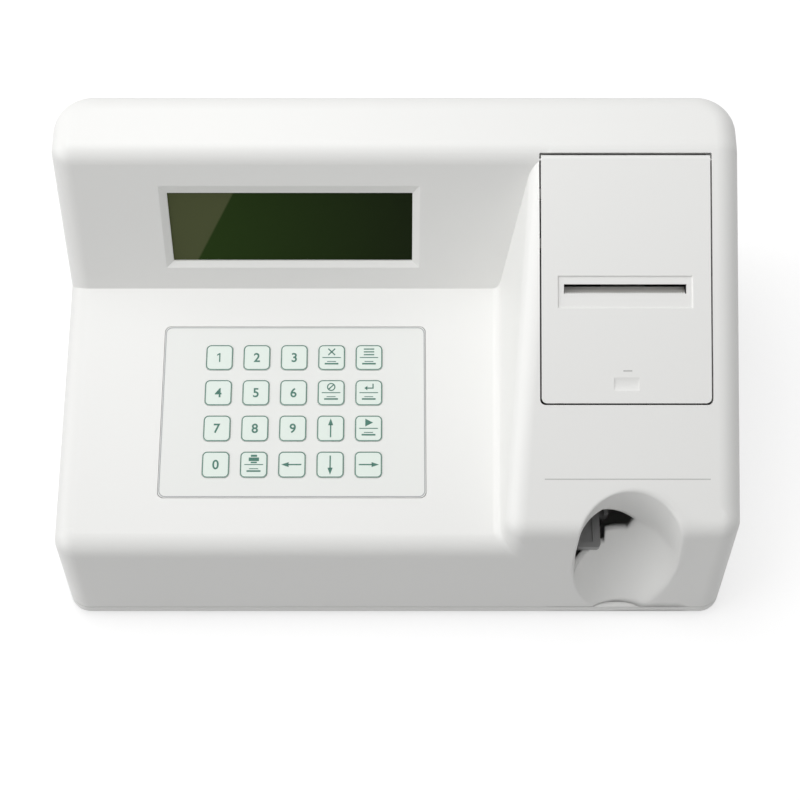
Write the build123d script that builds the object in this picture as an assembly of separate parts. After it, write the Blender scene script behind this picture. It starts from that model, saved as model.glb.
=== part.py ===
"""Bench-top urine test strip analyzer, in millimetres.

X runs to the right, Y to the back and Z up. Sizes along Y are written from the case's front edge,
and every piece is moved back by half the case's depth when it is saved, so that the origin lies on
the table under the middle of the case.
"""
from build123d import *
import math
import os

os.makedirs("parts", exist_ok=True)

# ---------------------------------------------------------------- driving dimensions
# Case
case_width = 330.0
case_depth = 218.0
case_height = 147.5
foot_lift = 4.0            # the case's lower edge above the table
seam_height = 8.0          # top of the base tray's edge above the table
seam_gap = 0.5
wall = 2.8
front_draft = 11.5         # degrees that the front face leans back
keypad_front_height = 63.5
keypad_slope = 4.5
display_slope = 65.0
ridge_depth = 36.0
column_front_height = 78.92
column_break_step = 4.7    # from the ridge's front edge back to the column's break
column_width = 113.3       # from the column's left foot to the case's right side
column_left = case_width / 2 - column_width  # foot of the column's left wall, at column_left_height
column_left_height = 70.0
column_wall_lean = 11.0
corner_front_radius = 11.0
corner_back_radius = 19.0
top_radius = 11.0
ridge_radius = 11.0
break_radius = 12.0
column_edge_radius = 10.0
column_foot_radius = 4.0

# Fits
gap = 0.3                  # between curved or moving neighbours
running = 0.05             # radial clearance of a shaft in its hole
slide_gap = 0.2            # each side of a sliding piece

# Strip mouth and tray
mouth_x = case_width / 2 - 53.0
mouth_y = 8.5
mouth_radius = 25.0
mouth_turn_height = 50.0   # below this the mouth's wall runs forward
mouth_run = 30.0           # how far forward it runs, down to the seam
mouth_edge_radius = 1.0
tray_x = mouth_x - 17.0
tray_width = 12.8
tray_length = 145.0
tray_height = 4.0
tray_bottom = 39.6
tray_front = 20.5
tray_travel = 85.0
strip_width = 5.4
strip_groove_depth = 0.8
rack_module = 0.8
pinion_teeth = 16
pinion_y = 72.0

# Display
window_left = -case_width / 2 + 54.6
window_right = window_left + 119.2
window_low = 15.9          # up the display panel from its crease
window_high = 56.6
bezel_margin_x = 3.6
bezel_margin_low = 2.8
bezel_margin_high = 5.3
bezel_depth = 2.0
pane_depth = 2.8
pane_thickness = 1.5
display_pad = 5.0          # depth of the thick frame behind the panel
pane_rebate = 2.0
module_gap = 0.4
module_frame = 0.6
module_glass = 2.8
module_light = 3.2
board_thickness = 1.6
display_board_width = 144.0
display_board_height = 66.0

# Keypad
keypad_width = 130.0
keypad_height = 89.0
keypad_x = -case_width / 2 + 115.3
keypad_y = 70.7            # middle of the keypad, up the panel from its front edge
keypad_corner = 3.0
keypad_recess = 1.7
keypad_proud = 0.1
keypad_film = 0.5
circuit_thickness = 0.5
key_pitch = 18.6
key_first_x = keypad_x - 37.4
key_first_y = 42.8
key_size = 13.2
key_corner = 2.4
key_side_gap = 0.15
key_proud = 0.4
key_travel = 0.4
dome_radius = 4.0
dome_height = 0.35

# Printer
door_left = case_width / 2 - 95.2
door_right = case_width / 2 - 14.8
door_front = 61.3          # up the column's top from its front edge
door_back = 179.8
door_gap = 0.8
door_thickness = 2.6
door_corner = 2.6
hinge_corner = 0.5
hinge_radius = 2.2
hinge_pin_radius = 0.75
hinge_pin_length = 8.0
well_wall = 2.0
well_depth = 9.0
slot_left = door_left + 10.7
slot_right = door_right - 11.5
slot_front = 113.3
slot_back = 117.9
slot_recess = 0.8
slot_margin_x = 3.0
slot_margin_front = 7.0
slot_margin_back = 4.0
tear_pitch = 1.2
tear_tooth = 0.9
paper_width = 57.0
roll_radius = 22.0
roll_core_radius = 6.5
roll_s = 150.0
roll_depth = 31.0
platen_radius = 5.0
platen_s = 109.0
platen_depth = 12.0
shaft_radius = 2.0
gear_module = 0.6
gear_width = 4.0
platen_teeth = 24
idler_teeth = 30
motor_teeth = 12
cradle_wall = 2.5
printer_motor_radius = 10.0
printer_motor_length = 16.0
head_thickness = 1.6
head_sink_thickness = 1.5
head_spring_room = 3.0
head_spring_thickness = 0.4

# Strip reader
shroud_wall = 2.0
shroud_left = mouth_x - 29.0
shroud_right = mouth_x + 12.5
shroud_front = 37.5
shroud_back = 104.0
shroud_top = 78.0
guide_wall = 2.0
guide_floor = 3.0
guide_back = case_depth - 20.0
tray_motor_radius = 12.0
pinion_shaft_radius = 1.5
reader_y = 91.0
lens_radius = 4.0
tile_start = 116.0         # along the tray from its front end
tile_length = 10.0
tile_width = 8.0
tile_thickness = 0.6

# Base, boards and rear fittings
main_board_left = -case_width / 2 + 81.0
main_board_right = case_width / 2 - 95.0
main_board_front = 60.0
main_board_back = case_depth - 46.0
main_board_height = 14.0
supply_x = -case_width / 2 + 43.0
supply_y = case_depth - 68.0
supply_size = 56.0
post_radius = 4.0
screw_radius = 1.5
screw_head_radius = 3.0
post_bottom = 12.0
foot_radius = 8.0
foot_stud_radius = 2.5
rear_recess = 4.0
rear_recess_bottom = 18.0
rear_recess_height = 36.0
inlet_width, inlet_height = 27.0, 19.6
switch_width, switch_height = 12.8, 19.0
rocker_tilt = 7.0          # degrees each side of the middle
serial_width, serial_height = 19.0, 10.8


# ---------------------------------------------------------------- worked-out sizes
def tan(degrees):
    return math.tan(math.radians(degrees))


def sin(degrees):
    return math.sin(math.radians(degrees))


def cos(degrees):
    return math.cos(math.radians(degrees))


keypad_front = (keypad_front_height - foot_lift) * tan(front_draft)
ridge_front = case_depth - ridge_depth
crease_y = (case_height - ridge_front * tan(display_slope) - keypad_front_height
            + keypad_front * tan(keypad_slope)) / (tan(keypad_slope) - tan(display_slope))
crease_z = keypad_front_height + (crease_y - keypad_front) * tan(keypad_slope)
column_break = ridge_front + column_break_step
column_front = (column_front_height - foot_lift) * tan(front_draft)
column_slope = math.degrees(math.atan2(case_height - column_front_height, column_break - column_front))

# Working planes: X to the right, Y up the slope, Z out of the case.
keypad_plane = Plane((0, keypad_front, keypad_front_height), x_dir=(1, 0, 0),
                     z_dir=(0, -sin(keypad_slope), cos(keypad_slope))).location
display_plane = Plane((0, crease_y, crease_z), x_dir=(1, 0, 0),
                      z_dir=(0, -sin(display_slope), cos(display_slope))).location
column_plane = Plane((0, column_front, column_front_height), x_dir=(1, 0, 0),
                     z_dir=(0, -sin(column_slope), cos(column_slope))).location

window_x = (window_left + window_right) / 2
window_width = window_right - window_left
window_y = (window_low + window_high) / 2
window_height = window_high - window_low
door_x = (door_left + door_right) / 2
door_width = door_right - door_left
hinge_s = door_back - hinge_radius
slot_x = (slot_left + slot_right) / 2
platen_pitch_radius = gear_module * platen_teeth / 2
idler_pitch_radius = gear_module * idler_teeth / 2
motor_pitch_radius = gear_module * motor_teeth / 2
pinion_pitch_radius = rack_module * pinion_teeth / 2
rack_face = tray_x + tray_width / 2
rack_pitch_x = rack_face + 1.25 * rack_module
pinion_x = rack_pitch_x + pinion_pitch_radius
channel_left = tray_x - tray_width / 2 - gap
channel_right = rack_pitch_x + 1.25 * rack_module + gap
channel_floor = tray_bottom - gap
floor_top = foot_lift + wall
board_depth = display_pad + module_gap + module_frame + module_glass + module_light
head_front = platen_s + platen_radius + gap
head_back = head_front + head_thickness + head_sink_thickness
idler_depth = platen_depth + platen_pitch_radius + idler_pitch_radius
motor_s = platen_s - idler_pitch_radius - motor_pitch_radius
rear_floor = case_depth - rear_recess


# ---------------------------------------------------------------- helpers
def save(name, piece):
    """Write one node, moved so that the origin lies under the middle of the case."""
    export_step(Pos(0, -case_depth / 2, 0) * Compound(children=list(piece.solids())),
                f"parts/{name}.step")


def block(x0, x1, y0, y1, z0, z1):
    """Box given by its limits."""
    return Pos((x0 + x1) / 2, (y0 + y1) / 2, (z0 + z1) / 2) * Box(x1 - x0, y1 - y0, z1 - z0)


def rod(radius, length, axis="Z"):
    """Cylinder centred on the origin, along the named axis."""
    turn = {"X": Rot(0, 90, 0), "Y": Rot(90, 0, 0), "Z": Rot(0, 0, 0)}[axis]
    return turn * Cylinder(radius, length)


def plate(width, height, corner, thickness):
    """Rounded plate whose top lies at z = 0."""
    return extrude(RectangleRounded(width, height, corner), amount=-thickness)


def tube(outer, inner, length, axis="Z"):
    return rod(outer, length, axis) - rod(inner, length + 1, axis)


def spur_gear(teeth, module, width, bore):
    """Straight-toothed gear along Z with a tooth on +X, thin enough to run free."""
    pitch = module * teeth / 2
    root, tip = pitch - 1.2 * module, pitch + 0.9 * module
    step = 2 * math.pi / teeth
    points = []
    for tooth in range(teeth):
        for radius, share in ((root, -0.34), (pitch, -0.22), (tip, -0.11),
                              (tip, 0.11), (pitch, 0.22), (root, 0.34)):
            angle = step * (tooth + share)
            points.append((radius * math.cos(angle), radius * math.sin(angle)))
    outline = make_face(Polyline(*points, close=True)) - Circle(bore)
    return extrude(outline, amount=width / 2, both=True)


def mesh_turn(turn, teeth, next_teeth, direction):
    """Turn of the next gear that sets its gap over this gear's tooth; direction points to it."""
    return direction + 180 + 180 / next_teeth - (turn - direction) * teeth / next_teeth


def screw(length):
    """Pan-head screw, head down at z = 0 and shank upward."""
    head = Pos(0, 0, 0.9) * rod(screw_head_radius - 0.2, 1.8)
    slot = Pos(0, 0, 0.2) * (Box(3.6, 0.8, 0.8) + Box(0.8, 3.6, 0.8))
    return head + Pos(0, 0, 1.8 + length / 2) * rod(screw_radius, length) - slot


# ---------------------------------------------------------------- case
def side_profile(front_y, front_z, steps, inset, rounded_at, radius):
    """Side view of the case through the given top points, moved in by inset."""
    points = [(0, foot_lift), (front_y, front_z)] + steps + [(case_depth, case_height),
                                                             (case_depth, foot_lift)]
    face = make_face(Plane.YZ * Polyline(*points, close=True))
    if inset:
        face = offset(face, -inset, kind=Kind.INTERSECTION)
    corner = min(face.vertices(), key=lambda v: math.dist((v.Y, v.Z), rounded_at))
    return fillet([corner], radius - inset)


def column_bar(inset):
    """Endless bar along the column's slope, with its rounded upper left edge."""
    up = Vector(0, -sin(column_slope), cos(column_slope))
    left = Vector(-cos(column_wall_lean), 0, sin(column_wall_lean))
    top_point = Vector(0, column_break, case_height) - up * inset
    left_point = Vector(column_left, 0, column_left_height) - left * inset
    along = left.cross(up).normalized()
    if along.Y < 0:
        along = along * -1
    z = up.dot(top_point) / up.Z
    x = (left.dot(left_point) - left.Z * z) / left.X
    across = up.cross(along)
    if across.X < 0:
        across = across * -1
    section = Plane(Vector(x, 0, z), x_dir=across, z_dir=along)
    down = along.cross(left).normalized()
    if down.Z > 0:
        down = down * -1
    reach = case_width
    foot = (down.dot(section.x_dir) * reach, down.dot(section.y_dir) * reach)
    face = make_face(section * Polyline((0, 0), foot, (reach, foot[1]), (reach, 0), close=True))
    corner = min(face.vertices(), key=lambda v: (Vector(v.X, v.Y, v.Z) - section.origin).length)
    face = fillet([corner], column_edge_radius - inset)
    return extrude(face, amount=case_depth * 2, dir=tuple(along), both=True)


def case_form(inset=0.0):
    """Closed form of the whole case, with every face moved in by inset."""
    half = case_width / 2 - inset
    low = side_profile(keypad_front, keypad_front_height, [(crease_y, crease_z), (ridge_front, case_height)],
                       inset, (ridge_front, case_height), ridge_radius)
    high = side_profile(column_front, column_front_height, [(column_break, case_height)],
                        inset, (column_break, case_height), break_radius)
    form = Pos(-half, 0, 0) * extrude(low, amount=2 * half, dir=(1, 0, 0))
    form += extrude(high, amount=half, dir=(1, 0, 0)) & column_bar(inset)

    def on_side(edge):
        return abs(abs(edge.center().X) - half) < 0.3

    def upright(edge):
        return on_side(edge) and abs((edge % 0.5).Z) > 0.96

    back = case_depth - inset
    form = fillet([e for e in form.edges() if upright(e) and e.center().Y > back - 5],
                  corner_back_radius - inset)
    form = fillet([e for e in form.edges() if upright(e) and e.center().Y < ridge_front / 2],
                  corner_front_radius - inset)

    def on_rim(edge):
        middle = edge.center()
        if middle.Z < seam_height * 3:
            return False
        along_x = abs((edge % 0.5).X) > 0.99
        front = along_x and middle.Y < column_front + inset + 1
        rear = along_x and middle.Y > back - 0.3
        return front or rear or (on_side(edge) and abs((edge % 0.5).Y) > 0.3)

    form = fillet([e for e in form.edges() if on_rim(e)], top_radius - inset)
    if inset == 0:
        foot = [e for e in form.edges() if abs(e.center().X - column_left) < 3
                and abs((e % 0.5).Y) > 0.9 and e.length > crease_y / 2]
        form = fillet(foot, column_foot_radius)
    return form


def mouth_form(grow):
    """Air of the strip mouth, grown by grow: upright above, running forward to the seam below."""
    circle = Pos(mouth_x, mouth_y, mouth_turn_height) * Circle(mouth_radius + grow)
    drop = mouth_turn_height - seam_height
    upper = extrude(circle, amount=case_height, dir=(0, 0, 1))
    lean = Vector(0, -mouth_run, -drop)
    lower = extrude(circle, amount=lean.length, dir=tuple(lean.normalized()))
    return upper + lower


def on_mouth_rim(edge):
    """True for the edges where the mouth's wall meets the case's skin."""
    ends = edge @ 0, edge @ 1
    for level in (mouth_turn_height, seam_height + seam_gap):
        if max(abs(end.Z - level) for end in ends) < 0.05:
            return False
    for share in (0.1, 0.5, 0.9):
        point = edge @ share
        drop = max(0.0, (mouth_turn_height - point.Z) / (mouth_turn_height - seam_height))
        reach = math.hypot(point.X - mouth_x, point.Y - mouth_y + mouth_run * drop)
        if abs(reach - mouth_radius) > 0.05:
            return False
    return True


def tray_port():
    """Opening behind the mouth: a low channel for the tray and a taller sloping arch over it."""
    arch_right = mouth_x + 6
    outline = Polyline((channel_left, channel_floor), (channel_right, channel_floor),
                       (channel_right, channel_floor + 5.5), (arch_right - 3, channel_floor + 5.5),
                       (arch_right, channel_floor + 11), (mouth_x - 3, channel_floor + 21),
                       (channel_right - 4, channel_floor + 31), (channel_left, channel_floor + 31),
                       close=True)
    face = make_face(Plane.XZ * outline)
    return Pos(0, mouth_y - 2, 0) * extrude(face, amount=-mouth_radius * 1.35)


def display_frame_pad():
    middle_s = window_y + (bezel_margin_high - bezel_margin_low) / 2
    pad = plate(window_width + 2 * bezel_margin_x + 8, window_height + bezel_margin_low
                + bezel_margin_high + 8, 3, display_pad - 0.5)
    return display_plane * Pos(window_x, middle_s, -0.5) * pad


def display_screw_places():
    """Corners of the display board, on the display plane."""
    return [(window_x + side * (display_board_width / 2 - 4), window_y + end * (display_board_height / 2 - 4))
            for side in (-1, 1) for end in (-1, 1)]


def display_opening():
    """Bevelled recess, straight opening, and the rebate that holds the pane from behind."""
    outer = Pos(window_x, window_y + (bezel_margin_high - bezel_margin_low) / 2) * Rectangle(
        window_width + 2 * bezel_margin_x, window_height + bezel_margin_low + bezel_margin_high)
    inner = Pos(window_x, window_y, -bezel_depth) * Rectangle(window_width, window_height)
    bevel = loft([outer, inner])
    through = Pos(window_x, window_y, 0) * plate(window_width, window_height, 0.3, display_pad * 3)
    rebate = Pos(window_x, window_y, -pane_depth) * plate(
        window_width + 2 * pane_rebate, window_height + 2 * pane_rebate, 1, display_pad * 2)
    return display_plane * (bevel + through + rebate)


def door_well():
    """Wall round the door's opening, with the ledge that the door's front edge rests on."""
    width = door_width + 2 * door_gap
    height = door_back - door_front + 2 * door_gap
    middle = (door_front + door_back) / 2
    well = plate(width + 2 * well_wall, height + 2 * well_wall, door_corner + well_wall, well_depth)
    well -= plate(width, height, door_corner, well_depth + 1)
    ledge = block(-width / 2, width / 2, -height / 2, -height / 2 + 2.2,
                  -well_depth / 2, -door_thickness - 0.1)
    well = Pos(door_x, middle, 0) * (well + ledge)
    for x, s in cradle_screw_places():
        well += Pos(x, s, -(well_depth + 5.0) / 2) * rod(3.0, well_depth - 5.0)
    return column_plane * well


def door_hole():
    width = door_width + 2 * door_gap
    height = door_back - door_front + 2 * door_gap
    hole = extrude(RectangleRounded(width, height, door_corner), amount=5.0, both=True)
    square_back = extrude(RectangleRounded(width, 2 * door_corner, hinge_corner), amount=5.0, both=True)
    hole += Pos(0, height / 2 - door_corner, 0) * square_back
    hole += Pos(0, height / 2 - door_gap - hinge_radius, -hinge_radius) * rod(hinge_radius + door_gap, width, "X")
    return column_plane * Pos(door_x, (door_front + door_back) / 2, 0) * hole


def post_places():
    """Where the case's screw posts stand."""
    side = case_width / 2 - 15
    return [(-side, 26.0), (side, 26.0), (-side, case_depth - 22), (side, case_depth - 22)]


def foot_places():
    side = case_width / 2 - 28
    return [(-side, 24.0), (side, 24.0), (-side, case_depth - 24), (side, case_depth - 24)]


def rear_fittings():
    """Middle x of each rear fitting: inlet, switch and serial port."""
    first = -case_width / 2 + 45
    return {"inlet": first, "switch": first + 36, "serial": first + 72}


def rear_middle():
    return rear_recess_bottom + rear_recess_height / 2


def rear_pocket():
    places = rear_fittings()
    left, right = places["inlet"] - 22, places["serial"] + 24
    return left, right, rear_recess_bottom, rear_recess_bottom + rear_recess_height


def upper_case():
    outside = case_form()
    shell = outside - case_form(wall)
    shell += (mouth_form(wall) & outside)
    shell += (display_frame_pad() & outside)
    pad = keypad_plane * Pos(keypad_x, keypad_y, -wall / 2) * plate(
        keypad_width + 8, keypad_height + 8, keypad_corner, wall / 2 + 1.4)
    shell += pad & outside
    shell += door_well() & outside
    for x, y in display_screw_places():
        shell += (display_plane * Pos(x, y, -board_depth / 2) * rod(3.0, board_depth)) & outside
    for x, y in post_places():
        post = Pos(x, y, (post_bottom + case_height) / 2) * rod(post_radius, case_height - post_bottom)
        shell += post & outside
    left, right, low, high = rear_pocket()
    shell += block(left - wall, right + wall, rear_floor - wall, case_depth - wall / 2,
                   low - wall, high + wall)
    shell -= block(left, right, rear_floor, case_depth + 1, low, high)
    shell -= block(-case_width, case_width, -1, case_depth + 1, 0, seam_height + seam_gap)
    shell -= mouth_form(0)
    shell = fillet([edge for edge in shell.edges() if on_mouth_rim(edge)], mouth_edge_radius)
    shell -= tray_port()
    shell -= display_opening()
    shell -= keypad_plane * Pos(keypad_x, keypad_y, 1) * plate(
        keypad_width + 0.5, keypad_height + 0.5, keypad_corner, 1 + keypad_recess)
    shell -= door_hole()
    hinge = column_plane * Pos(door_x, hinge_s, -hinge_radius)
    shell -= hinge * rod(hinge_pin_radius, door_width + 2 * (door_gap + well_wall - 0.2), "X")
    for x, y in post_places():
        shell -= Pos(x, y, post_bottom + 8) * rod(screw_radius, 16.2)
    for x, y in display_screw_places():
        shell -= display_plane * Pos(x, y, -board_depth) * rod(screw_radius, 12.0)
    for x, s in cradle_screw_places():
        shell -= column_plane * Pos(x, s, -well_depth) * rod(screw_radius, 7.8)
    for name, width, height in (("inlet", inlet_width, inlet_height), ("switch", switch_width, switch_height),
                                ("serial", serial_width, serial_height)):
        shell -= Pos(rear_fittings()[name], rear_floor - wall / 2, rear_middle()) * Box(
            width + 0.4, wall * 3, height + 0.4)
    return shell


def base_tray():
    outside = case_form()
    tray = outside - case_form(wall)
    tray &= block(-case_width, case_width, -1, case_depth + 1, 0, seam_height)
    lip_out, lip_in = Pos(0, 0, -0.6) * case_form(wall + 0.2), case_form(wall + 1.6)
    lip = (lip_out - lip_in - Pos(0, 0, -wall) * lip_in) & block(
        -case_width, case_width, -1, case_depth + 1, floor_top - 0.4, seam_height + 3)
    tray += lip - mouth_form(wall + gap)
    for x, y in post_places():
        boss_height = post_bottom - foot_lift
        tray += Pos(x, y, foot_lift + boss_height / 2) * rod(post_radius, boss_height)
        tray -= Pos(x, y, foot_lift + boss_height / 2) * rod(screw_radius + 0.2, boss_height + 1)
        tray -= Pos(x, y, foot_lift + 1) * rod(screw_head_radius, 2.6)
    for x, y in foot_places():
        tray -= Pos(x, y, foot_lift) * rod(foot_stud_radius, wall * 4)
    for x, y in board_screw_places():
        height = main_board_height - floor_top
        tray += Pos(x, y, floor_top + height / 2) * rod(3.0, height)
        tray -= Pos(x, y, main_board_height - 3) * rod(screw_radius, 6.0)
    return tray


def rubber_feet():
    top = floor_top
    profile = make_face(Plane.XZ * Polyline(
        (0, 0), (foot_radius - 1, 0), (foot_radius, 1), (foot_radius - 0.6, foot_lift),
        (foot_stud_radius, foot_lift), (foot_stud_radius, top), (foot_stud_radius + 0.8, top),
        (foot_stud_radius, top + 1.6), (0, top + 1.6), close=True))
    foot = revolve(profile, Axis.Z)
    return Compound(children=[Pos(x, y, 0) * foot for x, y in foot_places()])


def case_screws():
    start = foot_lift + 2.3 - 1.8
    return Compound(children=[Pos(x, y, start) * screw(post_bottom + 9 - start) for x, y in post_places()])


# ---------------------------------------------------------------- display
def display_parts():
    """Pane, metal frame, glass and board, one behind the other."""
    pane = Pos(window_x, window_y, -pane_depth) * plate(
        window_width + 2 * pane_rebate - 0.4, window_height + 2 * pane_rebate - 0.4, 1, pane_thickness)
    frame_top = display_pad + module_gap
    frame_width, frame_height = window_width + 10, window_height + 12
    glass_top = frame_top + module_frame
    board_top = board_depth
    frame = Pos(window_x, window_y, -frame_top) * plate(frame_width, frame_height, 0.5, board_top - frame_top)
    frame -= Pos(window_x, window_y, -glass_top) * plate(
        frame_width - 2 * module_frame, frame_height - 2 * module_frame, 0.5, board_top)
    frame -= Pos(window_x, window_y, 0) * plate(window_width + 2, window_height + 2, 0.5, display_pad * 3)
    glass = Pos(window_x, window_y, -glass_top) * plate(
        frame_width - 2 * module_frame, frame_height - 2 * module_frame, 0.5, module_glass + module_light)
    board = Pos(window_x, window_y, -board_top) * plate(
        display_board_width, display_board_height, 1, board_thickness)
    for x, y in display_screw_places():
        board -= Pos(x, y, -board_top) * rod(screw_radius, 9)
    return {"lcd_window": display_plane * pane, "lcd_frame": display_plane * frame,
            "lcd_glass": display_plane * glass, "lcd_board": display_plane * board}


# ---------------------------------------------------------------- keypad
key_rows = [["key_1", "key_2", "key_3", "key_clear", "key_menu"],
            ["key_4", "key_5", "key_6", "key_cancel", "key_enter"],
            ["key_7", "key_8", "key_9", "key_up", "key_start"],
            ["key_0", "key_print", "key_left", "key_down", "key_right"]]


def key_places():
    """Name and place of each key, on the keypad plane."""
    for row, names in enumerate(key_rows):
        for column, name in enumerate(names):
            yield name, key_first_x + column * key_pitch, key_first_y + (len(key_rows) - 1 - row) * key_pitch


def keypad_layer(top, thickness):
    return Pos(keypad_x, keypad_y, top) * plate(keypad_width, keypad_height, keypad_corner, thickness)


def keypad_parts():
    """Overlay film, spacer, snap domes and circuit, and the raised key tops."""
    circuit_top = circuit_thickness - keypad_recess
    film_bottom = keypad_proud - keypad_film
    overlay = keypad_layer(keypad_proud, keypad_film)
    spacer = keypad_layer(film_bottom, film_bottom - circuit_top)
    circuit = keypad_layer(circuit_top, circuit_thickness)
    opening = key_size + 2 * key_side_gap
    parts = {}
    domes = []
    for name, x, y in key_places():
        overlay -= Pos(x, y, keypad_proud + 1) * plate(opening, opening, key_corner + key_side_gap, keypad_film + 2)
        spacer -= Pos(x, y, film_bottom + 0.1) * plate(opening, opening, key_corner + key_side_gap, 2)
        cap = Pos(x, y, circuit_top + dome_height / 2) * rod(dome_radius, dome_height)
        domes.append(keypad_plane * chamfer(cap.edges().group_by(Axis.Z)[-1], dome_height * 0.7, dome_height * 3))
        key = Pos(x, y, keypad_proud + key_proud) * plate(key_size, key_size, key_corner, key_proud + keypad_film)
        rim = key.faces().sort_by(Axis.Z)[-1].edges()
        parts[name] = keypad_plane * chamfer(rim, key_proud * 0.6)
    parts["keypad_overlay"] = keypad_plane * overlay
    parts["keypad_spacer"] = keypad_plane * spacer
    parts["keypad_circuit"] = keypad_plane * circuit
    parts["keypad_domes"] = Compound(children=domes)
    return parts


# ---------------------------------------------------------------- printer
def printer_door():
    length = door_back - hinge_radius - door_front
    panel = Pos(door_x, door_front + length / 2, 0) * plate(door_width, length, door_corner, door_thickness)
    panel += block(door_left, door_right, door_back - hinge_radius - door_corner * 2, hinge_s, -door_thickness, 0)
    panel += Pos(door_x, hinge_s, -hinge_radius) * rod(hinge_radius, door_width, "X")
    panel -= Pos(door_x, hinge_s, -hinge_radius) * rod(hinge_pin_radius + running, door_width + 2, "X")
    recess_low = Pos(slot_x, (slot_front + slot_back + slot_margin_back - slot_margin_front) / 2, 0)
    top = recess_low * Rectangle(slot_right - slot_left + 2 * slot_margin_x,
                                 slot_back - slot_front + slot_margin_front + slot_margin_back)
    floor = recess_low * Pos(0, 0, -slot_recess) * Rectangle(
        slot_right - slot_left + 2 * slot_margin_x - 1.2,
        slot_back - slot_front + slot_margin_front + slot_margin_back - 1.2)
    panel -= loft([top, floor])
    panel -= block(slot_left, slot_right, slot_front, slot_back, -door_thickness - 1, 1)
    finger_s = door_front + 9
    dish = Pos(door_x, finger_s, 8.4) * rod(9.0, 12, "X")
    panel -= dish
    latch = block(door_x - 4, door_x + 4, door_front + 1.6, door_front + 3.2, -door_thickness - 4, -door_thickness)
    panel += latch
    for x in (door_left + 12, door_right - 12):
        panel += block(x - 0.8, x + 0.8, door_front + 8, slot_front - slot_margin_front, -door_thickness - 1.2, -door_thickness)
    return column_plane * panel


def door_hinge_pins():
    pins = []
    for side in (-1, 1):
        outer = door_width / 2 + door_gap + well_wall - 0.2
        pins.append(column_plane * Pos(door_x + side * (outer - hinge_pin_length / 2), hinge_s, -hinge_radius)
                    * rod(hinge_pin_radius, hinge_pin_length, "X"))
    return Compound(children=pins)


def tear_bar():
    """Serrated strip on the front side of the paper slot, under the door's recess."""
    count = int((slot_right - slot_left) / tear_pitch)
    left = slot_x - count * tear_pitch / 2
    front = slot_front - 4
    points = [(left, front)]
    for tooth in range(count):
        points.append((left + tooth * tear_pitch, slot_front + 0.2))
        points.append((left + (tooth + 0.5) * tear_pitch, slot_front + 0.2 + tear_tooth))
    points.append((left + count * tear_pitch, slot_front + 0.2))
    points.append((left + count * tear_pitch, front))
    strip = extrude(make_face(Polyline(*points, close=True)), amount=0.5)
    return column_plane * Pos(0, 0, -door_thickness - 0.5) * strip


def cradle_screw_places():
    """Bosses in the door's well that the cradle's ears are screwed to, on the column's plane."""
    x = door_width / 2 + door_gap - 2.5
    return [(door_x - x, roll_s - 12), (door_x + x, roll_s - 12), (door_x - x, roll_s + 12), (door_x + x, roll_s + 12)]


def cradle_span():
    half = paper_width / 2 + 2
    return slot_x - half - cradle_wall, slot_x - half, slot_x + half, slot_x + half + cradle_wall


def printer_cradle():
    """Bucket for the paper roll, with cheeks for the platen and ears under the door's well."""
    left_out, left_in, right_in, right_out = cradle_span()
    middle_x, width = (left_out + right_out) / 2, right_out - left_out
    inner = width - 2 * cradle_wall
    bucket = roll_radius + gap
    bay_front = motor_s - printer_motor_radius - gap
    bay_floor = -(idler_depth + printer_motor_radius + gap)
    body = Pos(0, roll_s, -roll_depth) * rod(bucket + cradle_wall, width, "X")
    body += block(-width / 2, width / 2, bay_front - cradle_wall, roll_s - bucket / 2, bay_floor - cradle_wall, -well_depth)
    body += block(-width / 2, width / 2, roll_s - bucket - cradle_wall, roll_s + bucket + cradle_wall, -roll_depth, -well_depth)
    for x, s in cradle_screw_places():
        body += block(*sorted((x - middle_x - 3.2 * math.copysign(1, middle_x - x), 0)), s - 4, s + 4,
                      -well_depth - 2.5, -well_depth)
    body -= Pos(0, roll_s, -roll_depth) * rod(bucket, inner, "X")
    body -= block(-inner / 2, inner / 2, roll_s - bucket, roll_s + bucket, -roll_depth, 0)
    body -= block(-inner / 2, inner / 2, bay_front, roll_s - bucket - cradle_wall, bay_floor, 0)
    wall_s = head_back + head_spring_room
    body += block(-inner / 2, inner / 2, wall_s, wall_s + cradle_wall, bay_floor, -platen_depth + 3)
    body -= Pos(0, platen_s, -platen_depth) * rod(shaft_radius + running, width + 2, "X")
    body -= Pos(width / 2, motor_s, -idler_depth) * rod(shaft_radius / 2 + running, cradle_wall * 3, "X")
    for x, s in cradle_screw_places():
        body -= Pos(x - middle_x, s, -well_depth) * rod(screw_radius + 0.2, 9.0)
    axle = gear_width + 2
    body += Pos(width / 2 + axle / 2, platen_s, -idler_depth) * rod(shaft_radius, axle, "X")
    return column_plane * Pos(middle_x, 0, 0) * body


def head_spring():
    """Bowed leaf between the print head and the cradle's cross wall."""
    low, high, bow = -platen_depth - 5, -platen_depth + 2, head_spring_room
    back = [(head_back, low), (head_back + bow, (low + high) / 2), (head_back, high)]
    outer = ThreePointArc(back[0], back[1], back[2])
    inner = ThreePointArc((head_back, low + head_spring_thickness), (head_back + bow - head_spring_thickness, back[1][1]),
                          (head_back, high - head_spring_thickness))
    face = make_face([outer, Line(outer @ 1, inner @ 1), inner, Line(inner @ 0, outer @ 0)])
    leaf = Plane.YZ.location * extrude(face, amount=10, both=True)
    return column_plane * Pos(slot_x, 0, 0) * leaf


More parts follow.
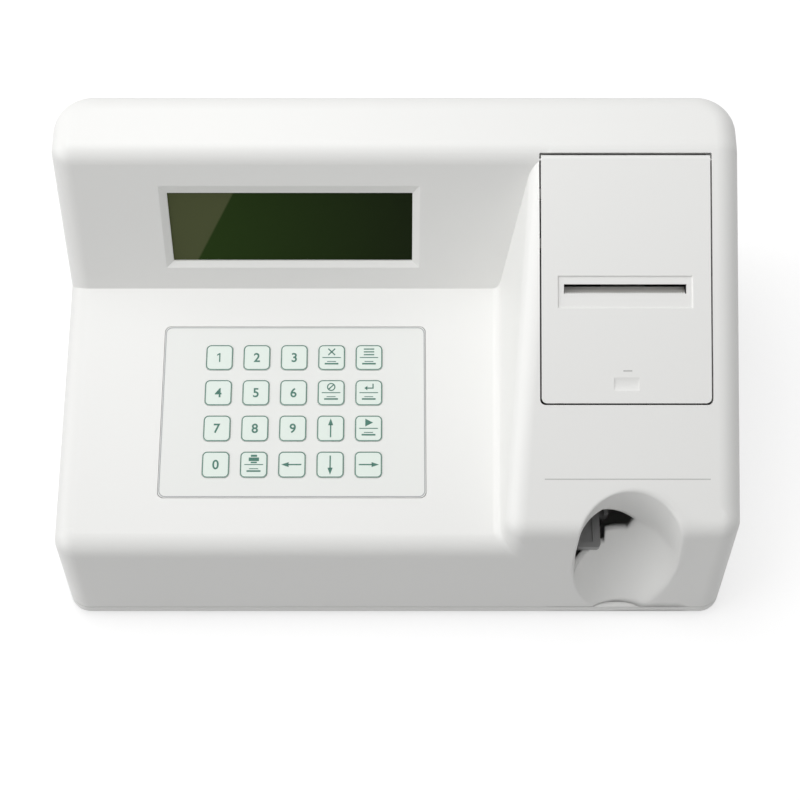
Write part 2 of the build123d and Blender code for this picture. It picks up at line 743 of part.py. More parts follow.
def printer_parts():
    left_out, left_in, right_in, right_out = cradle_span()
    parts = {"printer_door": printer_door(), "door_hinge_pins": door_hinge_pins(), "tear_bar": tear_bar(),
             "printer_cradle": printer_cradle()}
    roll = tube(roll_radius, roll_core_radius, paper_width, "X")
    parts["paper_roll"] = column_plane * Pos(slot_x, roll_s, -roll_depth) * roll
    shaft_left, shaft_right = left_out - 1, right_out + gear_width + 2.5
    at_platen = column_plane * Pos(0, platen_s, -platen_depth)
    shaft = Pos((shaft_left + shaft_right) / 2, 0, 0) * rod(shaft_radius, shaft_right - shaft_left, "X")
    parts["platen_shaft"] = at_platen * shaft
    parts["platen_rubber"] = at_platen * Pos(slot_x, 0, 0) * tube(platen_radius, shaft_radius, paper_width, "X")
    gear_x = right_out + 1 + gear_width / 2
    upright = Rot(0, 90, 0)
    parts["platen_gear"] = at_platen * Pos(gear_x, 0, 0) * upright * spur_gear(
        platen_teeth, gear_module, gear_width, shaft_radius)
    parts.update(gear_train(gear_x, right_out))
    sink_front = head_front + head_thickness
    heater = block(slot_left, slot_right, head_front, sink_front, -platen_depth - 6, -platen_depth + 6)
    sink = block(slot_left, slot_right, sink_front, head_back, -platen_depth - 8, -platen_depth + 4)
    parts["print_head"] = column_plane * (heater + sink)
    parts["head_spring"] = head_spring()
    return parts


def gear_train(gear_x, right_out):
    """Idler and motor pinion, each tooth set into the gap of the gear that it drives."""
    upright = Rot(0, 90, 0)
    idler_turn = mesh_turn(0, platen_teeth, idler_teeth, 0)
    motor_turn = mesh_turn(idler_turn, idler_teeth, motor_teeth, 270)
    at_idler = column_plane * Pos(gear_x, platen_s, -idler_depth) * upright
    at_motor = column_plane * Pos(0, motor_s, -idler_depth)
    idler = at_idler * Rot(0, 0, idler_turn) * spur_gear(
        idler_teeth, gear_module, gear_width, shaft_radius + running)
    pinion = at_motor * Pos(gear_x, 0, 0) * upright * Rot(0, 0, motor_turn) * spur_gear(
        motor_teeth, gear_module, gear_width, shaft_radius / 2)
    body_right = right_out - cradle_wall
    shaft_start, shaft_end = body_right + running, gear_x + gear_width / 2
    pinion += at_motor * Pos((shaft_start + shaft_end) / 2, 0, 0) * rod(shaft_radius / 2, shaft_end - shaft_start, "X")
    motor = at_motor * Pos(body_right - printer_motor_length / 2, 0, 0) * rod(
        printer_motor_radius, printer_motor_length, "X")
    return {"idler_gear": idler, "motor_pinion": pinion, "printer_motor": motor}


# ---------------------------------------------------------------- strip reader
def strip_tray():
    """Tray with a groove for the strip, a pocket for the white tile and a rack on its right side."""
    left, right = tray_x - tray_width / 2, tray_x + tray_width / 2
    top = tray_bottom + tray_height
    tray = block(left, right, tray_front, tray_front + tray_length, tray_bottom, top)
    tray = fillet(tray.edges().filter_by(Axis.Z).group_by(Axis.Y)[0], 2.0)
    tray -= block(tray_x - strip_width / 2, tray_x + strip_width / 2, tray_front + 3,
                  tray_front + tile_start - 3, top - strip_groove_depth, top + 1)
    tray -= block(tray_x - tile_width / 2, tray_x + tile_width / 2, tray_front + tile_start,
                  tray_front + tile_start + tile_length, top - tile_thickness, top + 1)
    pitch = math.pi * rack_module
    first = math.ceil((tray_front + 38 - pinion_y) / pitch)
    last = math.floor((tray_front + tray_length - 3 - pinion_y) / pitch)
    root, tip = rack_pitch_x - 1.2 * rack_module, rack_pitch_x + 0.9 * rack_module
    points = [(rack_face - 1, pinion_y + (first - 0.5) * pitch)]
    for tooth in range(first, last + 1):
        for x, share in ((root, -0.34), (rack_pitch_x, -0.22), (tip, -0.11),
                         (tip, 0.11), (rack_pitch_x, 0.22), (root, 0.34)):
            points.append((x, pinion_y + (tooth + share) * pitch))
    points.append((rack_face - 1, pinion_y + (last + 0.5) * pitch))
    rack = Pos(0, 0, tray_bottom) * extrude(make_face(Polyline(*points, close=True)), amount=tray_height - 0.6)
    return tray + rack


def white_tile():
    top = tray_bottom + tray_height
    return block(tray_x - tile_width / 2, tray_x + tile_width / 2, tray_front + tile_start,
                 tray_front + tile_start + tile_length, top - tile_thickness, top - 0.1)


def tray_guide():
    """Open channel on two legs; its right wall is cut away at the pinion."""
    left, right = channel_left - guide_wall, channel_right + guide_wall
    front, back = shroud_front, guide_back
    top = tray_bottom + tray_height + 2
    guide = block(left, right, front, back, channel_floor - guide_floor, top)
    guide -= block(channel_left, channel_right, front - 1, back - guide_wall, channel_floor, top + 1)
    room = pinion_pitch_radius + 2
    guide -= block(channel_right - 1, right + 1, pinion_y - room, pinion_y + room, channel_floor, top + 1)
    guide += block(left, channel_left + 1.5, front, back, tray_bottom + tray_height + gap, top)
    for y in (front + 6, back - 14):
        guide += block(left, right, y, y + 4, floor_top, channel_floor)
        guide += block(left, right, y - 6, y + 10, floor_top, floor_top + 2.5)
    return guide


def tray_drive():
    """Can motor on the base, and the pinion with its shaft."""
    motor_top = channel_floor - guide_floor - 7
    can = Pos(pinion_x, pinion_y, (floor_top + motor_top) / 2) * rod(tray_motor_radius, motor_top - floor_top)
    ears = Pos(pinion_x, pinion_y, floor_top + 0.6) * Box(6.0, tray_motor_radius * 2 + 12, 1.2)
    gear_low, gear_high = tray_bottom + gap, tray_bottom + tray_height - 0.6
    turn = 180 + 180 / pinion_teeth
    pinion = Pos(pinion_x, pinion_y, (gear_low + gear_high) / 2) * Rot(0, 0, turn) * spur_gear(
        pinion_teeth, rack_module, gear_high - gear_low, pinion_shaft_radius)
    shaft_low = motor_top + running
    pinion += Pos(pinion_x, pinion_y, (shaft_low + gear_high) / 2) * rod(pinion_shaft_radius, gear_high - shaft_low)
    return {"tray_motor": can + ears, "tray_pinion": pinion}


def optics_shroud():
    """Dark tunnel over the tray that keeps room light off the strip."""
    inner = shroud_wall
    shroud = block(shroud_left, shroud_right, shroud_front, shroud_back, floor_top, shroud_top)
    shroud -= block(shroud_left + inner, shroud_right - inner, shroud_front - 1, shroud_back + 1,
                    floor_top - 1, shroud_top - inner)
    shroud += block(shroud_left, shroud_right, shroud_back - inner, shroud_back,
                    tray_bottom + tray_height + 2 + gap, shroud_top)
    return shroud


def reader_parts():
    head_low = tray_bottom + tray_height + 3.4
    head = block(tray_x - 9, tray_x + 13, reader_y - 9, reader_y + 9, head_low, head_low + 18)
    head = chamfer(head.edges().filter_by(Axis.Z), 1.5)
    head += block(tray_x - 5, tray_x + 9, reader_y - 5, reader_y + 5, head_low + 18, shroud_top - shroud_wall)
    head -= Pos(tray_x, reader_y, head_low) * rod(lens_radius, 4.0)
    lens = Pos(tray_x, reader_y, head_low + 2.0 - 1.5) * rod(lens_radius, 3.0)
    return {"optics_head": head, "optics_lens": lens}


# ---------------------------------------------------------------- electronics
def board_screw_places():
    return [(x, y) for x in (main_board_left + 5, main_board_right - 5)
            for y in (main_board_front + 5, main_board_back - 5)]


def main_board():
    """Circuit board with its larger components."""
    board = block(main_board_left, main_board_right, main_board_front, main_board_back,
                  main_board_height, main_board_height + board_thickness)
    for x, y in board_screw_places():
        board -= Pos(x, y, main_board_height) * rod(screw_radius, 9.0)
    top = main_board_height + board_thickness
    middle_x, middle_y = (main_board_left + main_board_right) / 2, (main_board_front + main_board_back) / 2
    for dx, dy, width, depth, height in ((0, 0, 28, 28, 3), (-40, 10, 18, 10, 3), (36, -14, 20, 8, 3),
                                         (-38, -34, 30, 7, 9), (30, 38, 36, 7, 9), (48, 10, 12, 18, 6)):
        board += Pos(middle_x + dx, middle_y + dy, top + height / 2) * Box(width, depth, height)
    for dx in (-56, -44):
        board += Pos(middle_x + dx, middle_y + 34, top + 7) * rod(4.5, 14.0)
    return board


def power_supply():
    """Open-frame supply: board, transformer, capacitors and heat sink on four pillars."""
    half, bottom = supply_size / 2, floor_top + 6
    at = Pos(supply_x, supply_y, 0)
    supply = block(-half, half, -half, half, bottom, bottom + board_thickness)
    top = bottom + board_thickness
    for x in (-half + 4, half - 4):
        for y in (-half + 4, half - 4):
            supply += Pos(x, y, (floor_top + bottom) / 2) * rod(3.0, bottom - floor_top)
    supply += Pos(4, 2, top + 10) * Box(24, 20, 20)
    supply += Pos(4, 2, top + 10) * Box(18, 28, 12)
    for x, y in ((-18, 12), (-18, -8)):
        supply += Pos(x, y, top + 9) * rod(6.0, 18.0)
    supply += Pos(22, 0, top + 11) * Box(2.0, 40, 22)
    for y in (-16, -8, 0, 8, 16):
        supply += Pos(19.5, y, top + 11) * Box(5.0, 1.5, 22)
    return at * supply


def inner_screws():
    """Screws of the display board, the main board and the printer's cradle."""
    screws = []
    head = 1.8
    for x, y in display_screw_places():
        screws.append(display_plane * Pos(x, y, -board_depth - board_thickness - head) * screw(board_thickness + 5))
    for x, y in board_screw_places():
        screws.append(Pos(x, y, main_board_height + board_thickness + head) * Rot(180, 0, 0)
                      * screw(board_thickness + 5))
    for x, s in cradle_screw_places():
        screws.append(column_plane * Pos(x, s, -well_depth - 2.5 - head) * screw(2.5 + 3.8))
    return Compound(children=screws)


# ---------------------------------------------------------------- rear fittings
def power_inlet():
    """Three-pin mains inlet: flange on the recess floor, hollow mouth and three flat pins."""
    flange = Pos(0, 1, 0) * Box(inlet_width + 12, 2, inlet_height + 5)
    flange = fillet(flange.edges().filter_by(Axis.Y), 3.0)
    body = Pos(0, -10, 0) * Box(inlet_width, 20, inlet_height)
    mouth_width, mouth_height = inlet_width - 3, inlet_height - 3.4
    mouth = Pos(0, -6, 0) * Box(mouth_width, 18, mouth_height)
    mouth = chamfer(mouth.edges().filter_by(Axis.Y).group_by(Axis.Z)[-1], 4.5)
    inlet = flange + body - mouth
    for x, z in ((-7, -1.5), (0, 2.5), (7, -1.5)):
        inlet += Pos(x, -8, z) * Box(2.0, 14, 4.0)
    return Pos(rear_fittings()["inlet"], rear_floor, rear_middle()) * inlet


def switch_housing():
    flange = Pos(0, 0.75, 0) * Box(switch_width + 3, 1.5, switch_height + 3)
    body = Pos(0, -6, 0) * Box(switch_width, 12, switch_height)
    hollow = Pos(0, -4, 0) * Box(switch_width - 2, 14, switch_height - 2)
    return Pos(rear_fittings()["switch"], rear_floor, rear_middle()) * (flange + body - hollow)


def switch_rocker():
    """Rocker with a shallow V face, tilted to its off position."""
    half, depth = switch_height / 2 - 1.5, 4.6
    face = make_face(Plane.YZ * Polyline((-depth, 0), (0, -half), (3.4, -half), (2.4, 0), (3.4, half), (0, half),
                                         close=True))
    width = switch_width - 2 - 2 * gap
    rocker = extrude(face, amount=width / 2, both=True)
    rocker = chamfer(rocker.edges().filter_by(Axis.X).group_by(Axis.Y)[-1], 0.6)
    at = Pos(rear_fittings()["switch"], rear_floor - 1.5, rear_middle())
    pivots = rod(1.0, switch_width - 2 - 2 * running, "X")
    return at * Rot(-rocker_tilt, 0, 0) * (rocker + pivots)


def serial_port():
    """Nine-way D-shaped socket with two hexagonal standoffs."""
    flange = Pos(0, 0.5, 0) * Box(serial_width + 12, 1, serial_height + 1.7)
    half, height = serial_width / 2 - 1, serial_height / 2 - 1
    outline = make_face(Plane.XZ * Polyline((-half, height), (half, height), (half - 1.6, -height),
                                            (-half + 1.6, -height), close=True))
    outline = fillet(outline.vertices(), 1.6)
    shell = Pos(0, -2.5, 0) * extrude(outline, amount=6, both=True)
    inside = offset(outline, -1.2)
    port = flange + shell + Pos(0, -5, 0) * Box(serial_width - 0.4, 10.2, serial_height - 0.4)
    port -= Pos(0, 1, 0) * extrude(inside, amount=3.5, both=True)
    for side in (-1, 1):
        nut = Pos(0, 1.75, 0) * extrude(Plane.XZ * RegularPolygon(2.6, 6), amount=1.75, both=True)
        port += Pos(side * (serial_width / 2 + 3), 0, 0) * nut
        port -= Pos(side * (serial_width / 2 + 3), 2, 0) * rod(1.3, 6, "Y")
    return Pos(rear_fittings()["serial"], rear_floor, rear_middle()) * port


# ---------------------------------------------------------------- build
def main():
    """Build every node and write it."""
    nodes = {"upper_case": upper_case(), "base_tray": base_tray(), "rubber_feet": rubber_feet(),
             "case_screws": case_screws(), "strip_tray": strip_tray(), "white_tile": white_tile(),
             "tray_guide": tray_guide(), "optics_shroud": optics_shroud(), "main_board": main_board(),
             "power_supply": power_supply(), "inner_screws": inner_screws(), "power_inlet": power_inlet(),
             "switch_housing": switch_housing(), "switch_rocker": switch_rocker(), "serial_port": serial_port()}
    for group in (display_parts(), keypad_parts(), printer_parts(), tray_drive(), reader_parts()):
        nodes.update(group)
    for name, piece in nodes.items():
        save(name, piece)


main()
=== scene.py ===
"""Looks of the bench-top strip analyzer: finishes, printed marks, light and camera."""
import math

import bpy
from mathutils import Matrix, Vector


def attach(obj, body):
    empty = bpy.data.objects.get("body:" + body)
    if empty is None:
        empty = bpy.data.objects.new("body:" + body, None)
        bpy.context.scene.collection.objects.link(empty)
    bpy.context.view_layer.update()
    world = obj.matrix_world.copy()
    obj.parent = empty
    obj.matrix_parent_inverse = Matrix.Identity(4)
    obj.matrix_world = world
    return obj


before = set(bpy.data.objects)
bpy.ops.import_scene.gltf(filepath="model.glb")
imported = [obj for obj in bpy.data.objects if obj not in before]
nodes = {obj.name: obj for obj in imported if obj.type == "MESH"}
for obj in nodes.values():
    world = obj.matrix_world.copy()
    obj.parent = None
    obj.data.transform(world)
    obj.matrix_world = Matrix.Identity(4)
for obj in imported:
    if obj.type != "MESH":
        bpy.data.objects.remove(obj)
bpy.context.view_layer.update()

MM = 0.001
CASE_DEPTH = 218.0


# ---------------------------------------------------------------- panels, as in the CAD source
def panel(y, z, slope):
    """Matrix of a sloping panel: X to the right, Y up the slope, Z out of the case, in millimetres.

    y is measured from the case's front edge, z from the table, and slope from the level."""
    s, c = math.sin(math.radians(slope)), math.cos(math.radians(slope))
    place = Matrix(((1, 0, 0, 0), (0, c, -s, (y - CASE_DEPTH / 2) * MM), (0, s, c, z * MM), (0, 0, 0, 1)))
    return place @ Matrix.Scale(MM, 4)


KEYPAD = panel(12.104, 63.5, 4.5)
COLUMN = panel(15.244, 78.924, 21.8)


# ---------------------------------------------------------------- materials
def add_node(tree, kind, inputs, output=0, **settings):
    """Adds a shader node, gives its inputs plain values or links, and returns one of its outputs."""
    node = tree.nodes.new("ShaderNode" + kind)
    for name, value in settings.items():
        setattr(node, name, value)
    for name, value in inputs.items():
        if isinstance(value, bpy.types.NodeSocket):
            tree.links.new(value, node.inputs[name])
        else:
            node.inputs[name].default_value = value
    return node.outputs[output]


def place_of(tree, output="Object"):
    """X, Y and Z of the point or direction that is being shaded."""
    at = tree.nodes.new("ShaderNodeTexCoord")
    split = tree.nodes.new("ShaderNodeSeparateXYZ")
    tree.links.new(at.outputs[output], split.inputs[0])
    return split.outputs


def white_when_seen(tree, strength=0.0):
    """The given strength, raised to 1 for rays from the camera, a mirror or glass."""
    rays = tree.nodes.new("ShaderNodeLightPath")
    for ray in ("Is Camera Ray", "Is Glossy Ray", "Is Transmission Ray"):
        strength = add_node(tree, "Math", {0: strength, 1: rays.outputs[ray]}, operation="MAXIMUM")
    return strength


GRAIN_SCALE = 2600.0
GRAIN_DEPTH = 0.05 * MM


def material(name, color, rough=0.5, metallic=0.0, spec=0.5, grain=0.0):
    """Principled finish; grain is the strength of a fine moulded texture."""
    m = bpy.data.materials.new(name)
    m.use_nodes = True
    tree = m.node_tree
    p = tree.nodes["Principled BSDF"]
    p.inputs["Base Color"].default_value = (*color, 1)
    p.inputs["Roughness"].default_value = rough
    p.inputs["Metallic"].default_value = metallic
    p.inputs["Specular IOR Level"].default_value = spec
    if grain:
        at = tree.nodes.new("ShaderNodeTexCoord")
        noise = add_node(tree, "TexNoise",
                         {"Vector": at.outputs["Object"], "Scale": GRAIN_SCALE, "Detail": 3}, "Fac")
        bump = add_node(tree, "Bump",
                        {"Height": noise, "Strength": grain, "Distance": GRAIN_DEPTH}, "Normal")
        tree.links.new(bump, p.inputs["Normal"])
    return m


CASE = material("case_plastic", (0.80, 0.80, 0.785), 0.42, grain=0.25)

# centre of the strip mouth in plan, how far from it its rim is softened, and how broadly, in metres
MOUTH_CENTRE = (0.112, -0.1005, 0)
MOUTH_INNER, MOUTH_OUTER = 0.032, 0.038
MOUTH_LEFT, MOUTH_RIGHT = 0.100, 0.134
SOFT_LEFT, SOFT_RIGHT = 1.6 * MM, 7.5 * MM


def soften_mouth(m):
    """Rounds the look of the strip mouth's rim: little on its left, broadly on its right."""
    tree = m.node_tree
    x, y, _ = place_of(tree)
    flat = add_node(tree, "CombineXYZ", {"X": x, "Y": y})
    reach = add_node(tree, "VectorMath", {0: flat, 1: MOUTH_CENTRE}, "Value", operation="DISTANCE")
    near = add_node(tree, "MapRange", {"Value": reach, "From Min": MOUTH_OUTER, "From Max": MOUTH_INNER})
    side = add_node(tree, "MapRange", {"Value": x, "From Min": MOUTH_LEFT, "From Max": MOUTH_RIGHT,
                                       "To Min": SOFT_LEFT, "To Max": SOFT_RIGHT},
                    interpolation_type="SMOOTHSTEP")
    radius = add_node(tree, "Math", {0: near, 1: side}, operation="MULTIPLY")
    bevel = add_node(tree, "Bevel", {"Radius": radius}, samples=8)
    tree.links.new(bevel, tree.nodes["Bump"].inputs["Normal"])


soften_mouth(CASE)
RUBBER = material("rubber", (0.02, 0.02, 0.02), 0.8)
STEEL = material("steel", (0.55, 0.55, 0.55), 0.3, 1.0)
ZINC = material("zinc", (0.62, 0.62, 0.60), 0.4, 1.0)
BOARD = material("board", (0.015, 0.10, 0.04), 0.35)
FILM = material("overlay_film", (0.78, 0.79, 0.77), 0.5, grain=0.15)
KEY = material("key_film", (0.72, 0.80, 0.745), 0.45, grain=0.12)
SPACER = material("spacer_film", (0.5, 0.5, 0.48), 0.5)
BLACK = material("black_plastic", (0.012, 0.012, 0.013), 0.45, grain=0.2)
DARK = material("dark_plastic", (0.02, 0.02, 0.021), 0.6)
GREY = material("grey_plastic", (0.30, 0.30, 0.30), 0.45)
ACETAL = material("acetal", (0.75, 0.74, 0.68), 0.4)
PAPER = material("paper", (0.86, 0.86, 0.84), 0.8)
CERAMIC = material("ceramic", (0.62, 0.61, 0.58), 0.35)
TEAR = material("tear_plastic", (0.85, 0.85, 0.84), 0.4)
WHITE = material("white_reference", (0.9, 0.9, 0.9), 0.25)
GREEN_INK = material("green_ink", (0.035, 0.16, 0.115), 0.5)
GREY_INK = material("grey_ink", (0.36, 0.37, 0.38), 0.5)
SEAM_INK = material("seam_line", (0.42, 0.42, 0.41), 0.6)


# the painted reflection's edge on the display pane crosses EDGE_X at the height EDGE_Z and leans to the
# right
EDGE_X, EDGE_Z, EDGE_LEAN = -0.093, 0.096, 0.55
EDGE_SHARPNESS = 900.0
PANE_LEFT, PANE_RIGHT = -0.11, 0.009


def glass_pane():
    """Dark green display seen through its pane, with a painted reflection: a soft light patch on its left
    end, and the colour painted darker towards the right as that reflection fades.
    """
    m = material("display_pane", (0.02, 0.045, 0.012), 0.25, spec=0.04)
    tree = m.node_tree
    x, _, z = place_of(tree)
    # painted reflection: left of a leaning edge the pane's colour is lightened
    rise = add_node(tree, "Math", {0: z, 1: EDGE_Z}, operation="SUBTRACT")
    lean = add_node(tree, "Math", {0: rise, 1: EDGE_LEAN}, operation="MULTIPLY")
    edge = add_node(tree, "Math", {0: lean, 1: EDGE_X}, operation="ADD")
    past = add_node(tree, "Math", {0: edge, 1: x}, operation="SUBTRACT")
    painted_reflection_mask = add_node(tree, "Math", {0: past, 1: EDGE_SHARPNESS}, operation="MULTIPLY")
    # painted reflection fading: the colour is painted darker from the pane's left end to its right end
    along = add_node(tree, "MapRange", {"Value": x, "From Min": PANE_LEFT, "From Max": PANE_RIGHT})
    ramp = tree.nodes.new("ShaderNodeValToRGB")
    ramp.color_ramp.elements[0].color = (0.022, 0.048, 0.008, 1)
    ramp.color_ramp.elements[1].color = (0.009, 0.016, 0.004, 1)
    tree.links.new(along, ramp.inputs[0])
    painted_reflection_colour = add_node(tree, "Mix", {"Factor": add_node(tree, "Clamp", {0: painted_reflection_mask}), "A": ramp.outputs[0],
                                   "B": (0.080, 0.092, 0.040, 1)}, "Result", data_type="RGBA")
    tree.links.new(painted_reflection_colour, tree.nodes["Principled BSDF"].inputs["Base Color"])
    return m


PANE = glass_pane()

FINISH = {
    "upper_case": CASE, "base_tray": CASE, "printer_door": CASE, "rubber_feet": RUBBER, "case_screws": ZINC,
    "lcd_window": PANE, "lcd_frame": ZINC, "lcd_glass": BLACK, "lcd_board": BOARD,
    "keypad_overlay": FILM, "keypad_spacer": SPACER, "keypad_circuit": BOARD, "keypad_domes": STEEL,
    "door_hinge_pins": STEEL, "tear_bar": TEAR, "printer_cradle": BLACK, "printer_motor": ZINC,
    "print_head": CERAMIC, "head_spring": STEEL, "paper_roll": PAPER, "platen_shaft": STEEL,
    "platen_rubber": RUBBER, "platen_gear": ACETAL, "idler_gear": ACETAL, "motor_pinion": ACETAL,
    "tray_guide": GREY, "tray_motor": ZINC, "tray_pinion": ACETAL, "strip_tray": GREY, "white_tile": WHITE,
    "optics_shroud": DARK, "optics_head": DARK, "optics_lens": WHITE,
    "main_board": BOARD, "power_supply": BOARD, "inner_screws": ZINC, "power_inlet": BLACK,
    "switch_housing": BLACK, "switch_rocker": BLACK, "serial_port": STEEL,
}
for name, node in nodes.items():
    finish = KEY if name.startswith("key_") else FINISH[name]
    node.data.materials.clear()
    node.data.materials.append(finish)
    node.data.polygons.foreach_set("material_index", [0] * len(node.data.polygons))


# ---------------------------------------------------------------- printed marks
MARK_RISE = 0.06  # how far the print stands off its surface, in millimetres


def add(name, mesh, place, finish, body):
    """Puts a printed mark into the scene, on the body that carries it."""
    mesh.transform(place)
    mesh.materials.clear()
    mesh.materials.append(finish)
    obj = bpy.data.objects.new(name, mesh)
    bpy.context.scene.collection.objects.link(obj)
    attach(obj, body)


def print_mesh(loops):
    """Mesh of flat printed shapes, each a list of (x, y) corners, or a pair of such loops for a ring."""
    verts, faces = [], []
    for shape in loops:
        if isinstance(shape[0][0], tuple):
            outer, inner = shape
            n, start = len(outer), len(verts)
            verts += [(x, y, MARK_RISE) for x, y in outer + inner]
            for i in range(n):
                after = (i + 1) % n
                faces.append((start + i, start + after, start + n + after, start + n + i))
        else:
            start = len(verts)
            verts += [(x, y, MARK_RISE) for x, y in shape]
            faces.append(tuple(range(start, start + len(shape))))
    mesh = bpy.data.meshes.new("mark")
    mesh.from_pydata(verts, [], faces)
    return mesh


def round_rect(width, height, radius, x=0.0, y=0.0, steps=7):
    points = []
    for cx, cy, start in ((1, 1, 0), (-1, 1, 90), (-1, -1, 180), (1, -1, 270)):
        for i in range(steps + 1):
            a = math.radians(start + 90 * i / steps)
            points.append((x + cx * (width / 2 - radius) + radius * math.cos(a),
                           y + cy * (height / 2 - radius) + radius * math.sin(a)))
    return points


def ring(width, height, radius, line, x=0.0, y=0.0):
    return (round_rect(width, height, radius, x, y),
            round_rect(width - 2 * line, height - 2 * line, max(radius - line, 0.05), x, y))


def bar(x0, x1, y0, y1):
    return [(x0, y0), (x1, y0), (x1, y1), (x0, y1)]


def turned(points, degrees, dx=0.0, dy=0.0):
    a = math.radians(degrees)
    c, s = math.cos(a), math.sin(a)
    return [(dx + x * c - y * s, dy + x * s + y * c) for x, y in points]


def arrow(degrees):
    shaft = bar(-0.32, 0.32, -4.6, 2.2)
    head = [(-1.25, 1.6), (1.25, 1.6), (0, 5.2)]
    return [turned(shaft, degrees), turned(head, degrees)]


def numeral(text, size=6.6, weight=0.12):
    """Mesh of one plain numeral, centred; the 1 is drawn with the flag that the built-in font lacks."""
    if text == "1":
        flag = [(-0.2, 2.35), (-1.25, 1.55), (-1.25, 0.85), (-0.2, 1.55)]
        return print_mesh([bar(-0.2, 0.42, -2.35, 2.35), flag])
    curve = bpy.data.curves.new("numeral", "FONT")
    curve.body = text
    curve.size = size
    curve.align_x, curve.align_y = "CENTER", "CENTER"
    curve.offset = weight
    curve.fill_mode = "FRONT"
    obj = bpy.data.objects.new("numeral", curve)
    bpy.context.scene.collection.objects.link(obj)
    bpy.context.view_layer.update()
    mesh = bpy.data.meshes.new_from_object(obj.evaluated_get(bpy.context.evaluated_depsgraph_get()))
    bpy.data.objects.remove(obj)
    low_x = min(v.co.x for v in mesh.vertices)
    high_x = max(v.co.x for v in mesh.vertices)
    low_y = min(v.co.y for v in mesh.vertices)
    high_y = max(v.co.y for v in mesh.vertices)
    mesh.transform(Matrix.Translation((-(low_x + high_x) / 2, -(low_y + high_y) / 2, MARK_RISE)))
    return mesh


def disc(radius, x=0.0, y=0.0, steps=20):
    turn = 2 * math.pi / steps
    return [(x + radius * math.cos(turn * i), y + radius * math.sin(turn * i)) for i in range(steps)]


def pictogram(kind):
    """Plain sign over a dividing line, with two short bars under it."""
    up = 3.0  # height of the sign's middle over the dividing line
    if kind == "clear":
        signs = [turned(bar(-2.4, 2.4, -0.3, 0.3), angle, 0, up) for angle in (45, -45)]
    elif kind == "menu":
        signs = [bar(-2.6, 2.6, up + row - 0.3, up + row + 0.3) for row in (-1.5, 0, 1.5)]
    elif kind == "cancel":
        signs = [(disc(2.1, 0, up), disc(1.55, 0, up)), turned(bar(-1.7, 1.7, -0.28, 0.28), 45, 0, up)]
    elif kind == "enter":
        signs = [turned([(-2.4, 0), (-0.9, 1.2), (-0.9, -1.2)], 0, 0.2, up - 0.6),
                 bar(-1.2, 2.4, up - 0.9, up - 0.3), bar(1.8, 2.4, up - 0.3, up + 1.7)]
    elif kind == "start":
        signs = [[(-1.6, up - 2.0), (2.2, up), (-1.6, up + 2.0)]]
    else:
        signs = [bar(-2.5, 2.5, up - 1.2, up + 0.6), bar(-1.5, 1.5, up + 0.95, up + 2.0),
                 bar(-1.5, 1.5, up - 2.3, up - 1.55)]
    return [bar(-4.6, 4.6, -0.22, 0.22), *signs, bar(-3.4, 3.4, -3.7, -2.9), bar(-2.2, 2.2, -2.3, -1.9)]


LAYOUT = [["1", "2", "3", "clear", "menu"], ["4", "5", "6", "cancel", "enter"],
          ["7", "8", "9", "up", "start"], ["0", "print", "left", "down", "right"]]
TURN = {"up": 0, "left": 90, "down": 180, "right": 270}
PITCH, FIRST_X, FIRST_Y, KEY_TOP = 18.6, -87.1, 42.8, 0.5
OUTLINE_SIZE, OUTLINE_CORNER, OUTLINE_WIDTH = 13.0, 2.3, 0.42
for row, keys in enumerate(LAYOUT):
    for column, key in enumerate(keys):
        body = "key_" + key
        x, y = FIRST_X + column * PITCH, FIRST_Y + (3 - row) * PITCH
        place = KEYPAD @ Matrix.Translation((x, y, KEY_TOP))
        outline = ring(OUTLINE_SIZE, OUTLINE_SIZE, OUTLINE_CORNER, OUTLINE_WIDTH)
        add(body + "_outline", print_mesh([outline]), place, GREEN_INK, body)
        if key.isdigit():
            mesh = numeral(key)
        elif key in TURN:
            mesh = print_mesh(arrow(TURN[key]))
        else:
            mesh = print_mesh(pictogram(key))
        add(body + "_legend", mesh, place, GREEN_INK, body)

OVERLAY_TOP = 0.1
add("overlay_outline", print_mesh([ring(129.4, 88.4, 3.2, 0.45, -49.7, 70.7)]),
    KEYPAD @ Matrix.Translation((0, 0, OVERLAY_TOP)), GREY_INK, "case")
add("label_line", print_mesh([bar(71.1, 149.4, 25.3, 25.65)]), COLUMN, SEAM_INK, "case")
add("door_dash", print_mesh([bar(108.4, 112.6, 76.4, 76.9)]), COLUMN, SEAM_INK, "paper_door")

# ---------------------------------------------------------------- floor, light and camera
FLOOR_DROP = 0.2 * MM
FLOOR_GLOW = 0.62
bpy.ops.mesh.primitive_plane_add(size=30.0, location=(0, 0, -FLOOR_DROP))
floor = bpy.context.object
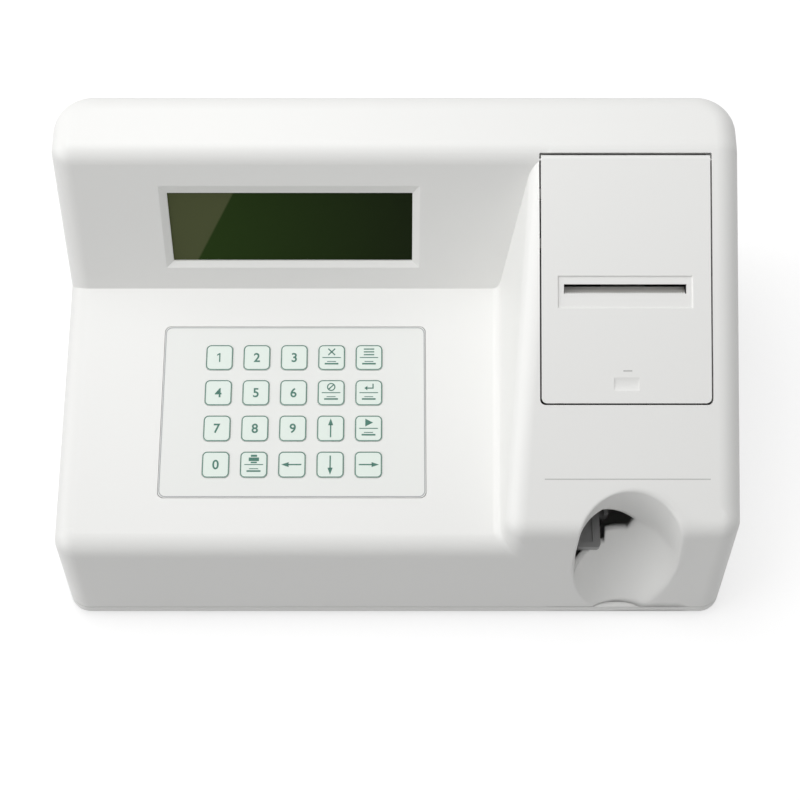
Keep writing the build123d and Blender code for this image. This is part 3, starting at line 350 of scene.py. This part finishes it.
# seen by the camera, a mirror or glass the table is white, while its bounce stays as weak as in the photo
floor_finish = material("floor", (0.5, 0.5, 0.5), 0.95, spec=0.0)
tree = floor_finish.node_tree
glow = add_node(tree, "Math", {0: white_when_seen(tree), 1: FLOOR_GLOW}, operation="MULTIPLY")
tree.nodes["Principled BSDF"].inputs["Emission Color"].default_value = (1, 1, 1, 1)
tree.links.new(glow, tree.nodes["Principled BSDF"].inputs["Emission Strength"])
floor.data.materials.append(floor_finish)

# the room is white where it is seen, and its light grows from the horizon to the zenith
HORIZON, ZENITH = 0.315, 0.64
world = bpy.data.worlds.new("room")
bpy.context.scene.world = world
world.use_nodes = True
sky = world.node_tree
_, _, up = place_of(sky, "Generated")
graded = add_node(sky, "MapRange", {"Value": up, "From Min": 0.0, "From Max": 1.0,
                                    "To Min": HORIZON, "To Max": ZENITH})
background = sky.nodes["Background"]
background.inputs["Color"].default_value = (1, 1, 1, 1)
sky.links.new(white_when_seen(sky, graded), background.inputs["Strength"])


def add_lamp(name, lamp, toward, place=(0, 0, 0)):
    """Puts a lamp into the scene, shining from the direction toward."""
    obj = bpy.data.objects.new(name, lamp)
    obj.location = place
    obj.rotation_euler = Vector(toward).to_track_quat("Z", "Y").to_euler()
    bpy.context.scene.collection.objects.link(obj)


# one large light above and behind the ridge, to the left, as the tones of the panels show
KEY_PLACE, KEY_AIM = Vector((-0.20, 0.24, 0.85)), Vector((0.0, 0.0, 0.08))
key_light = bpy.data.lights.new("key_light", "AREA")
key_light.shape = "SQUARE"
key_light.size = 0.60
key_light.energy = 3.3
add_lamp("key_light", key_light, KEY_PLACE - KEY_AIM, KEY_PLACE)

left_fill = bpy.data.lights.new("left_fill", "SUN")
left_fill.energy = 1.3
left_fill.angle = math.radians(60)
add_lamp("left_fill", left_fill, (-1.0, -0.18, 0.22))

camera = bpy.data.cameras.new("camera")
camera.lens, camera.sensor_width = 76.5, 36.0
camera.clip_start, camera.clip_end = 0.01, 20
eye = bpy.data.objects.new("camera", camera)
eye.location = (0.00274, -0.36225, 0.83643)
eye.rotation_euler = (math.radians(24), 0, 0)
bpy.context.scene.collection.objects.link(eye)
scene = bpy.context.scene
scene.camera = eye
scene.render.engine = "CYCLES"
scene.cycles.samples = 64
scene.render.resolution_x = scene.render.resolution_y = 800
scene.view_settings.view_transform = "Standard"
scene.view_settings.look = "None"
